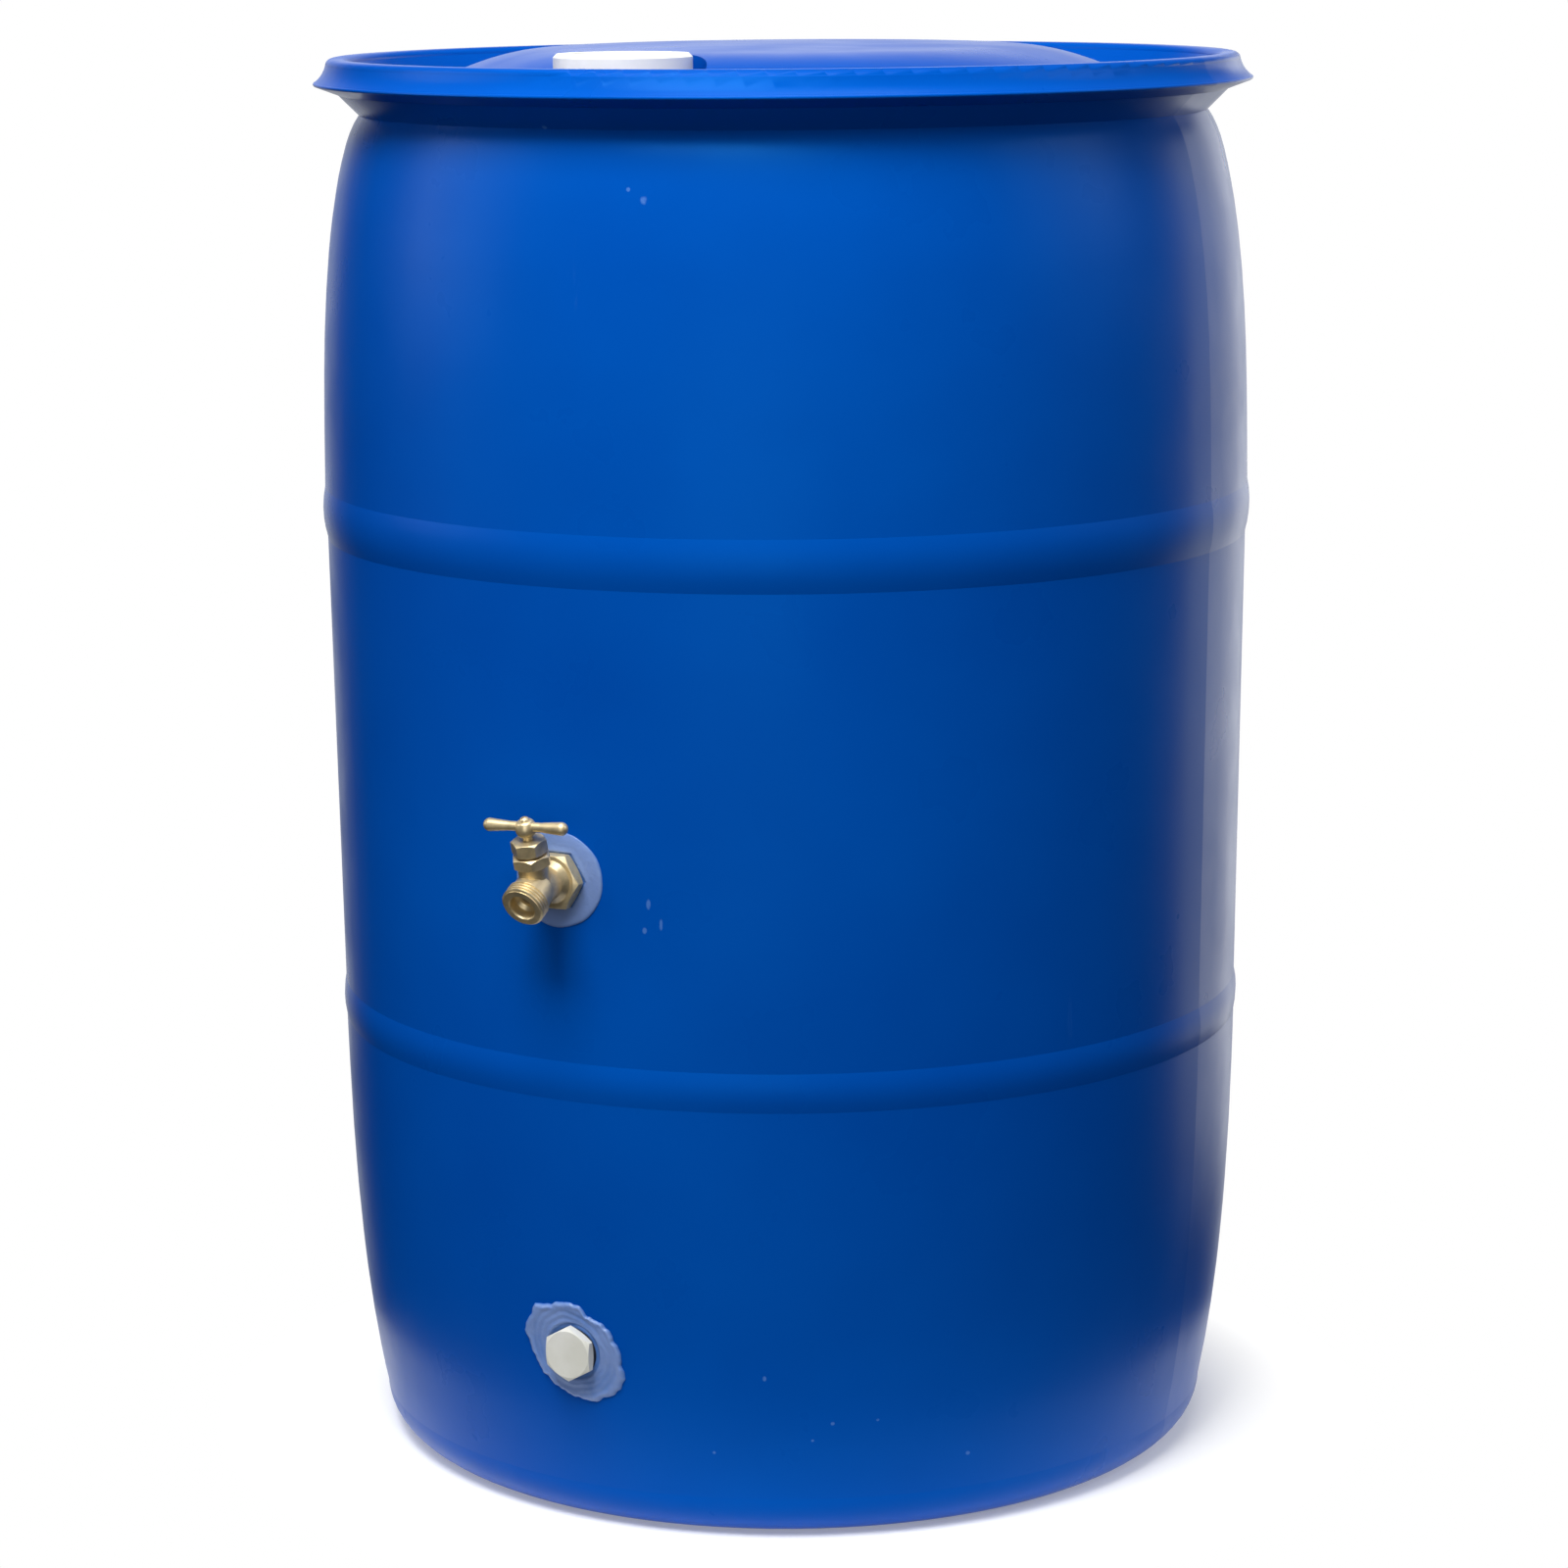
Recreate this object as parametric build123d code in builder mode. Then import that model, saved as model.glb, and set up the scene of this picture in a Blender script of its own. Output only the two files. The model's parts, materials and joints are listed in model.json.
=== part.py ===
from build123d import *
import math
import os

# Closed-head plastic drum with two screw bungs, a brass tap and a drain plug, in millimetres.
# The origin is on the drum's axis at floor level and +Z is up.  The tap, the drain plug and
# the large bung face -Y, the small bung +Y.

# ---------------------------------------------------------------- driving dimensions
# Drum shell: radii are insets from the upper hoop's crest, upper levels are drops from the rim
drum_radius = 295.4
height = 885.0                  # floor to rim top
wall = 4.5
corner_radius = 27.0
base_rise = 10.0                # how far the base panel is raised above its stand ring
base_panel_inset = 80.0
stand_ring_width = 15.0
lower_wall_inset = 26.6         # where the bottom corner meets the wall
lower_wall_curve = [(18.8, 73), (13.5, 120), (9.2, 182)]    # insets and levels up to the hoop
lower_hoop_level = 287.0
lower_hoop_half = 12.0
lower_hoop_inset = 4.9
lower_hoop_proud = 1.4
upper_hoop_drop = 283.0
upper_hoop_half = 16.0
upper_hoop_proud = 2.5
shoulder_curve = [(2.6, 206), (6.3, 136), (12.5, 87), (17.5, 63), (23.7, 44)]  # insets and drops
neck_inset = 28.9
neck_drop = 35.0
gutter_drop = 29.0
gutter_inset = 45.4
gutter_half = 9.0
dome_rise_inset = 92.4          # halfway up the dome's roll
dome_rise_drop = 8.0
dome_edge_inset = 150.4         # where the flat crown rolls over
dome_edge_rise = 5.0
crown_rise = 6.5
lip_inset = 0.8                 # lifting lip's tip
lip_drop = 15.6
lip_round = 1.1
lip_root_inset = 15.9
lip_root_drop = 22.0
rim_outer_inset = 8.8
rim_inner_inset = 22.2
rim_crest_drop = 4.0            # where the rim's rounded top starts
rim_crest_land = 4.4

# Bungs: flange, thread and seat sizes
bung_inset = 95.4               # bung axis, in from the upper hoop's crest
pocket_gap = 4.0
neck_wall = 10.5
neck_depth = 30.0
running_gap = 0.1               # radial clearance of a moving thread, drawn as a plain cylinder
bung_gasket = 1.5
socket_depth = 17.0
gasket_edge = 1.0               # how far a bung's gasket stays inside its flange
thread_lead = 1.5               # chamfer at a bung thread's lower end
large_seat_drop = 6.0
large_thread_radius = 35.0
large_thread_length = 22.0
large_flange_radius = large_thread_radius + 6.3
large_flange_height = 11.0
small_seat_drop = 13.0
small_thread_radius = 28.0
small_thread_length = 20.0
small_flange_radius = small_thread_radius + 6.5
small_flange_height = 10.0
bung_shell = 4.0
lug_count = 4
lug_width = 5.0
lug_reach = 5.0
lug_drop = 3.5                  # bung top to the top of its wrench lugs
plug_thread_radius = 13.1
plug_flange_radius = plug_thread_radius + 3.4
plug_flange_height = 3.5
plug_flange_edge = 0.8
plug_thread_length = 13.0
plug_thread_lead = 1.0
plug_boss_wall = 5.0
plug_boss_height = 6.0          # plug seat above the small bung's floor
plug_socket_flats = 14.0
plug_socket_share = 0.6         # depth of the hex socket as a share of the plug's length
plug_gasket = 1.2

# Tap: distances along its inlet, stem and outlet axes
tap_level = 411.0
hole_gap = 0.4                  # drilled holes are this much larger in radius than the shank
shank_radius = 13.2
shank_length = 30.0
collar_flats = 2 * shank_radius + 5.6
collar_face = 0.4               # gap left between the wall and the hexagonal collar
collar_length = 9.0
barrel_taper = 4.0
chamber_reach = 24.5            # wall to the crossing of the tap's axes
barrel_radius = 10.4
stem_tilt = 16.0
outlet_droop = 28.0
outlet_reach = 19.5
outlet_radius = 11.9
outlet_bore = 8.0
outlet_depth = 8.5
outlet_cone = 2.0               # cone at the bottom of the outlet bore
outlet_flare = 1.2
hose_thread_radius = 13.45
hose_thread_root = 12.2
hose_thread_pitch = 2.2
hose_thread_turns = 4
hose_thread_flank = 0.65
hose_thread_crest = 0.85
hose_thread_lead = 0.6
chamber_radius = 9.2
chamber_bore = 6.6
chamber_top = 15.0
chamber_bulge = 1.6             # belly of the chamber below its straight wall
chamber_depth = 12.7
seat_level = -1.0
seat_bore = 4.2
window_bore = 3.6
window_rise = 6.5
inlet_bore = 5.5
inlet_bell = 3.5                # how much wider the inlet's outer third is
inlet_drop = 6.0
bonnet_flats = 21.0
bonnet_height = 7.0
bonnet_spigot = 5.0
spigot_radius = 6.0
packing_radius = 5.0
packing_depth = 1.5             # pocket for the packing in the spigot's end
packing_nut_flats = 19.0
packing_nut_height = 8.5
packing_nut_lift = 1.0
packing_nut_roof = 2.0
packing_nut_turn = 20.0
fit_gap = 0.05                  # between fixed or threaded brass parts
stem_travel = 4.5
stem_thread_radius = 3.9
stem_thread_margin = 1.5        # raised thread to the packing
stem_thread_runout = 0.9
stem_radius = 3.0
stem_square = 2.2
hub_level = 40.0
hub_radius = 6.2
hub_height = 10.5
hub_dish = 1.2
hub_edge = 1.6
hub_skin = 2.5                  # hub top to the end of the stem in it
handle_length = 55.0
handle_root_radius = 2.9
handle_tip_radius = 4.0
handle_turn = 4.0
washer_radius = 5.6
washer_thickness = 2.5
holder_thickness = 2.5
screw_gap = 0.2
screw_radius = 1.6
screw_head_radius = 3.0
screw_head_height = 2.0
screw_edge = 0.8
screw_depth = 6.0
handle_screw_radius = 1.3
handle_screw_length = 7.3
handle_screw_head = 3.1
handle_screw_crown = 2.1
slot_length = 7.0
slot_width = 0.9
slot_depth = 0.8
slot_turn = 40.0

# Drain plug
drain_level = 116.0
drain_shank_radius = 13.2
drain_bore = 9.7
drain_tail = 3.0                # shank past the locknut
drain_floor = 2.0
drain_flats = 30.0
drain_turn = 30.0
drain_head_height = 6.5
drain_standoff = 2.6            # wall to the back of the hex head
drain_washer_radius = drain_shank_radius + 1.7

# Fixing inside the wall, the same for the tap and the drain plug
gasket_thickness = 3.0
gasket_reach = 9.8              # beyond the shank
locknut_wall = 5.3              # shank to the locknut's flats
locknut_height = 7.0
sealant_thickness = 2.4
tap_sealant_radius = 29.5
drain_sealant_width = 64.0
drain_sealant_height = 54.0
moving_gap = 0.3                # between parts that move past each other
overcut = 1.0                   # how far a cutting tool runs past the face that it cuts
hex_land = 0.97                 # share of a hexagon's flats that its end chamfer leaves
hex_chamfer = 30.0
root_half = math.sqrt(0.5)


# ---------------------------------------------------------------- helpers
def at(inset, level):
    """Point of the drum's half section: an inset from the upper hoop's crest, and a level."""
    return (drum_radius - inset, level)


def radius_at(edge, level):
    """Radius of an edge of the drum's half section, which climbs, at a level."""
    low, high = 0.0, 1.0
    for _ in range(40):
        middle = (low + high) / 2
        if (edge @ middle).Y < level:
            low = middle
        else:
            high = middle
    return (edge @ low).X


def section_of(plane):
    """Plane holding an axis plane's x direction and its normal: local x is a radius,
    local y runs along the axis."""
    return Plane(origin=plane.origin, x_dir=plane.x_dir, z_dir=-plane.y_dir)


def turned(plane, outline):
    """Solid of revolution about a plane's normal, from (radius, distance) points."""
    with BuildPart() as piece:
        with BuildSketch(section_of(plane)):
            with BuildLine():
                Polyline(*outline, close=True)
            make_face()
        revolve(axis=Axis(plane.origin, plane.z_dir))
    return piece.part


def ring(plane, inner, outer, start, end):
    """Plain ring about a plane's normal."""
    return turned(plane, [(inner, start), (outer, start), (outer, end), (inner, end)])


def rod(plane, radius, start, end):
    """Plain round bar about a plane's normal."""
    return turned(plane, [(0, start), (radius, start), (radius, end), (0, end)])


def hexagon(plane, flats, start, end, turn=0.0):
    """Hexagonal prism along a plane's normal, with both ends' corners turned off."""
    corner = flats / math.sqrt(3)
    land = flats / 2 * hex_land
    slope = (corner - land) * math.tan(math.radians(hex_chamfer))
    with BuildPart() as piece:
        with BuildSketch(plane.offset(start)):
            RegularPolygon(flats / 2, 6, major_radius=False, rotation=turn)
        extrude(amount=end - start)
        add(
            turned(
                plane,
                [(0, start), (land, start), (corner, start + slope),
                 (corner, end - slope), (land, end), (0, end)],
            ),
            mode=Mode.INTERSECT,
        )
    return piece.part


def save(piece, name):
    """Label a finished piece and write its STEP file."""
    piece.part.label = name
    export_step(piece.part, f"parts/{name}.step")


os.makedirs("parts", exist_ok=True)

# ---------------------------------------------------------------- drum outline
upper_hoop_level = height - upper_hoop_drop
neck = at(neck_inset, height - neck_drop)
gutter_level = height - gutter_drop
gutter_outer = at(gutter_inset - gutter_half + 1, gutter_level + 1)


def drum_form(depth):
    """Closed drum whose walls lie a depth inside the outer surface, and its two long edges."""

    def side(inset, level):
        return (drum_radius - inset - depth, level)

    foot = drum_radius - lower_wall_inset - corner_radius
    bend = corner_radius - depth
    diagonal = bend * root_half
    low_hoop = lower_hoop_inset + lower_hoop_proud
    under = -depth
    with BuildPart() as form:
        with BuildSketch(Plane.XZ):
            with BuildLine():
                Polyline(
                    (0, base_rise + depth),
                    at(base_panel_inset, base_rise + depth),
                    (foot - stand_ring_width, depth),
                    (foot, depth),
                )
                ThreePointArc(
                    (foot, depth),
                    (foot + diagonal, corner_radius - diagonal),
                    side(lower_wall_inset, corner_radius),
                )
                lower_wall = Spline(
                    side(lower_wall_inset, corner_radius),
                    *[side(inset, level) for inset, level in lower_wall_curve],
                    side(low_hoop, lower_hoop_level - lower_hoop_half),
                )
                ThreePointArc(
                    lower_wall @ 1, side(lower_hoop_inset, lower_hoop_level),
                    side(low_hoop, lower_hoop_level + lower_hoop_half),
                )
                waist = Line(
                    side(low_hoop, lower_hoop_level + lower_hoop_half),
                    side(upper_hoop_proud, upper_hoop_level - upper_hoop_half),
                )
                hoop = ThreePointArc(
                    waist @ 1, side(0, upper_hoop_level),
                    side(upper_hoop_proud * 0.6, upper_hoop_level + upper_hoop_half),
                )
                shoulder = Spline(
                    hoop @ 1,
                    *[side(inset, height - drop) for inset, drop in shoulder_curve],
                    side(neck_inset, height - neck_drop),
                )
                gutter = ThreePointArc(
                    (gutter_outer[0] - depth, gutter_outer[1] + under),
                    at(gutter_inset + depth / 2, gutter_level + under),
                    at(gutter_inset + gutter_half + 1, gutter_level + gutter_half / 3 + under),
                )
                Line(shoulder @ 1, gutter @ 0)
                crown = TangentArc(
                    (0, height + crown_rise + under),
                    at(dome_edge_inset, height + dome_edge_rise + under), tangent=(1, 0),
                )
                Spline(
                    gutter @ 1, at(dome_rise_inset, height - dome_rise_drop + under), crown @ 1,
                    tangents=((-1, 0.62), -(crown % 1)),
                )
                Line(crown @ 0, (0, base_rise + depth))
            make_face()
        revolve(axis=Axis.Z)
    return form.part, lower_wall, waist


hull, lower_wall_edge, waist_edge = drum_form(0)
cavity = drum_form(wall)[0]
tap_wall = radius_at(waist_edge, tap_level)
drain_wall = radius_at(lower_wall_edge, drain_level)
bung_circle = drum_radius - bung_inset

# Axis planes: local +Z points the way each piece leaves
large_axis = Plane(origin=(0, -bung_circle, height - large_seat_drop))
small_axis = Plane(origin=(0, bung_circle, height - small_seat_drop))
inlet_axis = Plane(origin=(0, -tap_wall, tap_level), x_dir=(1, 0, 0), z_dir=(0, -1, 0))
drain_axis = Plane(origin=(0, -drain_wall, drain_level), x_dir=(1, 0, 0), z_dir=(0, -1, 0))
tilt = math.radians(stem_tilt)
droop = math.radians(outlet_droop)
chamber_centre = (0, -tap_wall - chamber_reach, tap_level)
stem_axis = Plane(origin=chamber_centre, x_dir=(1, 0, 0), z_dir=(0, -math.sin(tilt), math.cos(tilt)))
outlet_axis = Plane(
    origin=chamber_centre, x_dir=(1, 0, 0), z_dir=(0, -math.cos(droop), -math.sin(droop))
)

with BuildPart() as wall_skin:
    add(hull)
    add(cavity, mode=Mode.SUBTRACT)

# ---------------------------------------------------------------- drum shell
bung_seats = [(large_axis, large_thread_radius), (small_axis, small_thread_radius)]

with BuildPart() as head_pockets:
    for axis, thread in bung_seats:
        add(rod(axis, thread + neck_wall + pocket_gap + wall, -wall, height))
    add(hull, mode=Mode.INTERSECT)

with BuildPart() as rim:
    with BuildSketch(Plane.XZ):
        with BuildLine():
            lip_low = at(lip_inset + lip_round - 0.3, height - lip_drop - lip_round)
            lip_high = at(lip_inset + lip_round, height - lip_drop + lip_round)
            crest = height - rim_crest_drop
            flare_top = at(rim_outer_inset, crest)
            crest_outer = at(rim_outer_inset + rim_crest_land, height)
            crest_inner = at(rim_inner_inset - rim_crest_land, height)
            gutter_wall = at(gutter_inset - 1.5 * gutter_half, gutter_level + 6)
            Polyline(gutter_outer, neck, at(lip_root_inset, height - lip_root_drop), lip_low)
            ThreePointArc(lip_low, at(lip_inset, height - lip_drop), lip_high)
            ThreePointArc(lip_high, at(rim_outer_inset - 2.4, height - 9.6), flare_top)
            ThreePointArc(flare_top, at(rim_outer_inset + 1.4, height - 1.1), crest_outer)
            Line(crest_outer, crest_inner)
            ThreePointArc(crest_inner, at(rim_inner_inset - 1.3, height - 1.1),
                          at(rim_inner_inset, crest))
            Line(at(rim_inner_inset, crest), gutter_wall)
            ThreePointArc(gutter_wall, at(gutter_inset - 1.25 * gutter_half, gutter_level + 2.4),
                          gutter_outer)
        make_face()
    revolve(axis=Axis.Z)

with BuildPart() as drum_shell:
    add(wall_skin.part)
    add(head_pockets.part)
    add(rim.part)
    for axis, thread in bung_seats:
        add(rod(axis, thread + neck_wall, -neck_depth, 0))
    for axis, thread in bung_seats:
        add(rod(axis, thread + neck_wall + pocket_gap, 0, height), mode=Mode.SUBTRACT)
        add(rod(axis, thread + moving_gap, -neck_depth, overcut), mode=Mode.SUBTRACT)
    for axis, shank in ((inlet_axis, shank_radius), (drain_axis, drain_shank_radius)):
        add(rod(axis, shank + hole_gap, -2 * wall, 2 * wall), mode=Mode.SUBTRACT)
save(drum_shell, "drum_shell")


# ---------------------------------------------------------------- bungs
def bung_outline(flange_radius, flange_height, thread_radius, thread_length):
    """Half outline of a cup-shaped bung: flange, threaded skirt and wrench recess."""
    edge = flange_height * 0.2
    top = bung_gasket + flange_height
    floor = top - socket_depth
    recess = thread_radius - bung_shell
    return [
        (0, floor - bung_shell),
        (recess - bung_shell, floor - bung_shell),
        (recess - bung_shell, bung_gasket - thread_length),
        (thread_radius - thread_lead, bung_gasket - thread_length),
        (thread_radius, bung_gasket - thread_length + thread_lead),
        (thread_radius, bung_gasket),
        (flange_radius, bung_gasket),
        (flange_radius, top - edge),
        (flange_radius - edge, top),
        (recess, top),
        (recess, floor),
        (0, floor),
    ]


def wrench_lugs(axis, thread_radius, flange_height):
    """Wrench lugs on the recess wall, spaced evenly round the bung."""
    recess = thread_radius - bung_shell
    floor = bung_gasket + flange_height - socket_depth
    with BuildPart() as lugs:
        with BuildSketch(axis.offset(floor)):
            with PolarLocations(recess - lug_reach / 2, lug_count):
                Rectangle(lug_reach + bung_shell / 2, lug_width)
        extrude(amount=socket_depth - lug_drop)
    return lugs.part


with BuildPart() as large_bung:
    add(turned(large_axis, bung_outline(
        large_flange_radius, large_flange_height, large_thread_radius, large_thread_length)))
    add(wrench_lugs(large_axis, large_thread_radius, large_flange_height))
save(large_bung, "large_bung")

with BuildPart() as large_bung_gasket:
    add(ring(large_axis, large_thread_radius + moving_gap, large_flange_radius - gasket_edge,
             0, bung_gasket))
save(large_bung_gasket, "large_bung_gasket")

plug_seat = bung_gasket + small_flange_height - socket_depth + plug_boss_height
plug_boss = plug_thread_radius + plug_boss_wall
plug_axis = small_axis.offset(plug_seat)

with BuildPart() as small_bung:
    add(turned(small_axis, bung_outline(
        small_flange_radius, small_flange_height, small_thread_radius, small_thread_length)))
    add(wrench_lugs(small_axis, small_thread_radius, small_flange_height))
    add(rod(plug_axis, plug_boss, -plug_thread_length - overcut, 0))
    add(rod(plug_axis, plug_thread_radius + running_gap, -2 * plug_thread_length, overcut),
        mode=Mode.SUBTRACT)
save(small_bung, "small_bung")

with BuildPart() as small_bung_gasket:
    add(ring(small_axis, small_thread_radius + moving_gap, small_flange_radius - gasket_edge,
             0, bung_gasket))
save(small_bung_gasket, "small_bung_gasket")

with BuildPart() as centre_plug_gasket:
    add(ring(plug_axis, plug_thread_radius + moving_gap, plug_flange_radius - gasket_edge / 2,
             0, plug_gasket))
save(centre_plug_gasket, "centre_plug_gasket")

plug_top = plug_gasket + plug_flange_height
plug_end = plug_gasket - plug_thread_length
with BuildPart() as centre_plug:
    add(turned(plug_axis, [
        (0, plug_end),
        (plug_thread_radius - plug_thread_lead, plug_end),
        (plug_thread_radius, plug_end + plug_thread_lead),
        (plug_thread_radius, plug_gasket),
        (plug_flange_radius, plug_gasket),
        (plug_flange_radius, plug_top - plug_flange_edge),
        (plug_flange_radius - plug_flange_edge, plug_top),
        (0, plug_top),
    ]))
    with BuildSketch(plug_axis.offset(plug_top)):
        RegularPolygon(plug_socket_flats / 2, 6, major_radius=False)
    extrude(amount=-(plug_top - plug_end) * plug_socket_share, mode=Mode.SUBTRACT)
save(centre_plug, "centre_plug")


# ---------------------------------------------------------------- fixings in the wall
def save_inner_fixing(axis, shank, prefix, thread_gap):
    """Rubber gasket and hexagonal locknut that clamp a shank from inside the drum."""
    seat = -wall - gasket_thickness
    with BuildPart() as gasket:
        add(ring(axis, shank + moving_gap, shank + gasket_reach, seat, 0))
        add(cavity, mode=Mode.INTERSECT)
    save(gasket, f"{prefix}_gasket")
    with BuildPart() as locknut:
        add(hexagon(axis, 2 * (shank + locknut_wall), seat - locknut_height, seat))
        add(rod(axis, shank + thread_gap, seat - 2 * locknut_height, 0), mode=Mode.SUBTRACT)
    save(locknut, f"{prefix}_locknut")


save_inner_fixing(inlet_axis, shank_radius, "tap", 0.0)
save_inner_fixing(drain_axis, drain_shank_radius, "drain", running_gap)

# Skin of sealant on the wall, later cut to each patch
with BuildPart() as sealant_skin:
    add(drum_form(-sealant_thickness)[0])
    add(hull, mode=Mode.SUBTRACT)

# ---------------------------------------------------------------- tap body
outlet_floor = outlet_reach - outlet_depth
thread_start = outlet_reach - hose_thread_pitch * hose_thread_turns - hose_thread_lead
window_top = stem_axis.offset(seat_level + window_rise).origin
window_axis = Plane(
    origin=window_top, x_dir=(1, 0, 0),
    z_dir=outlet_axis.offset(outlet_floor + outlet_depth / 2).origin - window_top,
)

with BuildPart() as hose_thread:
    add(rod(outlet_axis, hose_thread_root, outlet_reach / 5, outlet_reach))
    for step in range(hose_thread_turns):
        start = thread_start + step * hose_thread_pitch
        add(turned(outlet_axis, [
            (hose_thread_root - overcut, start),
            (hose_thread_root, start),
            (hose_thread_radius, start + hose_thread_flank),
            (hose_thread_radius, start + hose_thread_flank + hose_thread_crest),
            (hose_thread_root, start + 2 * hose_thread_flank + hose_thread_crest),
            (hose_thread_root - overcut, start + 2 * hose_thread_flank + hose_thread_crest),
        ]))

with BuildPart() as tap_body:
    add(rod(inlet_axis, shank_radius, -shank_length, overcut))
    add(hexagon(inlet_axis, collar_flats, collar_face, collar_length))
    add(turned(inlet_axis, [
        (0, 0), (shank_radius, 0), (shank_radius, collar_length),
        (barrel_radius, collar_length + barrel_taper), (barrel_radius, chamber_reach),
        (0, chamber_reach)]))
    with BuildSketch(section_of(stem_axis)):
        with BuildLine():
            belly = (chamber_radius + chamber_bulge, -1)
            bottom = (0, -chamber_depth)
            Polyline(bottom, (0, chamber_top), (chamber_radius, chamber_top), (chamber_radius, 2), belly)
            ThreePointArc(belly, (chamber_radius - 1.2, -0.65 * chamber_depth), bottom)
        make_face()
    revolve(axis=Axis(stem_axis.origin, stem_axis.z_dir))
    add(rod(outlet_axis, outlet_radius, 0, thread_start + hose_thread_pitch))
    add(hose_thread.part)
    # waterways: inlet, pocket under the seat, chamber over it, window and outlet
    inlet_way = Plane(
        origin=inlet_axis.origin + Vector(0, 0, -inlet_drop), x_dir=(1, 0, 0), z_dir=inlet_axis.z_dir)
    inlet_end = -shank_length - overcut
    add(rod(inlet_way, inlet_bore, inlet_end, chamber_reach), mode=Mode.SUBTRACT)
    add(rod(inlet_axis, inlet_bore + inlet_bell, inlet_end, -shank_length / 3), mode=Mode.SUBTRACT)
    add(rod(stem_axis, seat_bore, -inlet_drop, seat_level + overcut), mode=Mode.SUBTRACT)
    add(rod(stem_axis, chamber_bore, seat_level, chamber_top + overcut), mode=Mode.SUBTRACT)
    add(rod(window_axis, window_bore, 0, outlet_reach), mode=Mode.SUBTRACT)
    add(turned(outlet_axis, [
        (0, outlet_floor + outlet_cone), (outlet_bore - outlet_cone, outlet_floor),
        (outlet_bore, outlet_floor + outlet_cone), (outlet_bore, outlet_reach - overcut),
        (outlet_bore + outlet_flare, outlet_reach + overcut),
        (0, outlet_reach + overcut)]), mode=Mode.SUBTRACT)
save(tap_body, "tap_body")

# ---------------------------------------------------------------- tap bonnet and packing
bonnet_top = chamber_top + bonnet_height
nut_foot = bonnet_top + packing_nut_lift
nut_top = nut_foot + packing_nut_height
packing_top = nut_top - packing_nut_roof
packing_level = bonnet_top + bonnet_spigot - packing_depth

with BuildPart() as tap_bonnet:
    add(hexagon(stem_axis, bonnet_flats, chamber_top, bonnet_top))
    add(rod(stem_axis, chamber_bore, chamber_top - bonnet_spigot, chamber_top))
    add(rod(stem_axis, spigot_radius, bonnet_top, bonnet_top + bonnet_spigot))
    add(rod(stem_axis, stem_thread_radius + fit_gap, 0, nut_top), mode=Mode.SUBTRACT)
    add(rod(stem_axis, packing_radius, packing_level, nut_top), mode=Mode.SUBTRACT)
save(tap_bonnet, "tap_bonnet")

with BuildPart() as packing_ring:
    add(ring(stem_axis, stem_radius + fit_gap, packing_radius, packing_level, packing_top))
save(packing_ring, "packing_ring")

with BuildPart() as packing_nut:
    add(hexagon(stem_axis, packing_nut_flats, nut_foot, nut_top, turn=packing_nut_turn))
    add(rod(stem_axis, stem_radius + moving_gap, 0, 2 * nut_top), mode=Mode.SUBTRACT)
    add(rod(stem_axis, spigot_radius, 0, bonnet_top + bonnet_spigot), mode=Mode.SUBTRACT)
    add(rod(stem_axis, packing_radius, 0, packing_top), mode=Mode.SUBTRACT)
save(packing_nut, "packing_nut")

# ---------------------------------------------------------------- tap spindle
holder_level = seat_level + washer_thickness + screw_gap / 2
hub_low = hub_level - hub_height / 2
hub_high = hub_level + hub_height / 2
hub_face = hub_high - hub_dish
stem_end = hub_high - hub_skin
thread_end = packing_level - stem_travel - stem_thread_margin
screw_tip = holder_level + screw_depth
screw_seat = seat_level - screw_gap / 2
screw_foot = seat_level - screw_head_height
handle_screw_tip = hub_face - handle_screw_length

with BuildPart() as stem:
    add(turned(stem_axis, [
        (0, holder_level), (washer_radius, holder_level),
        (washer_radius, holder_level + holder_thickness),
        (stem_thread_radius, holder_level + holder_thickness + overcut),
        (stem_thread_radius, thread_end), (stem_radius, thread_end + stem_thread_runout),
        (stem_radius, hub_low + overcut), (stem_square, hub_low + overcut),
        (stem_square, stem_end), (0, stem_end)]))
    add(rod(stem_axis, screw_radius, 0, screw_tip), mode=Mode.SUBTRACT)
    add(rod(stem_axis, handle_screw_radius, handle_screw_tip, hub_high), mode=Mode.SUBTRACT)
save(stem, "stem")

with BuildPart() as seat_washer:
    add(ring(stem_axis, screw_radius + screw_gap, washer_radius,
             seat_level, seat_level + washer_thickness))
save(seat_washer, "seat_washer")

with BuildPart() as washer_screw:
    add(rod(stem_axis, screw_radius, screw_seat, screw_tip))
    add(turned(stem_axis, [
        (0, screw_foot), (screw_head_radius - screw_edge, screw_foot),
        (screw_head_radius, screw_foot + screw_edge), (screw_head_radius, screw_seat),
        (0, screw_seat)]))
    with BuildSketch(stem_axis.offset(screw_foot)):
        Rectangle(slot_length, slot_width)
    extrude(amount=slot_depth, mode=Mode.SUBTRACT)
save(washer_screw, "washer_screw")

handle_plane = stem_axis.offset(hub_level)
turn = math.radians(handle_turn)
arm_dir = handle_plane.x_dir * math.cos(turn) + handle_plane.y_dir * math.sin(turn)

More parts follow.
